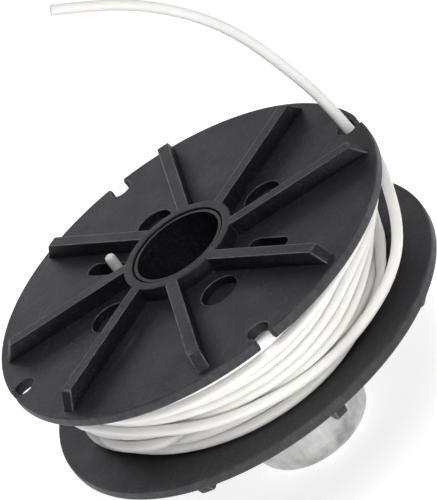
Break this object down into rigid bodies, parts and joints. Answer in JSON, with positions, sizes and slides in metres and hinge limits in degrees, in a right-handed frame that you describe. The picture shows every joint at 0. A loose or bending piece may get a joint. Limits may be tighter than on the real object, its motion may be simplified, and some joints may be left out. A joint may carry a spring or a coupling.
{
  "type": "trimmer line spool",
  "caption": "Bump-feed line spool for a grass trimmer head: ribbed black drum wound with pale cutting line, with a turning steel bump cap underneath.",
  "frame": {"origin": "on the spool's axis, at the flat bottom of the bump cap, which the spool stands on", "axes": "+Z along the spool's axis from the bump cap towards the ribbed upper flange; angles are counted from +X towards +Y"},
  "size_m": [0.092, 0.092, 0.1067],
  "materials": {
    "black_nylon": "moulded black nylon, fine grain, lightly scuffed",
    "bush_polymer": "smooth bearing polymer",
    "cap_steel": "pressed steel, dull satin",
    "rivet_steel": "plated steel",
    "line_nylon": "pale nylon monofilament, soft sheen"
  },
  "bodies": {
    "spool": {"upper_flange": "black_nylon", "lower_flange": "black_nylon", "drum": "black_nylon", "stem": "black_nylon", "cap_rivet": "rivet_steel", "rivet_washer": "rivet_steel", "line_winding": "line_nylon", "line_free_end": "line_nylon", "line_inner_end": "line_nylon"},
    "cap": {"bump_cap": "cap_steel", "cap_bush": "bush_polymer"}
  },
  "joints": [
    {"name": "cap_spin", "type": "hinge", "parent": "spool", "child": "cap", "pos_m": [0, 0, 0], "axis": [0, 0, 1], "continuous": true}
  ]
}
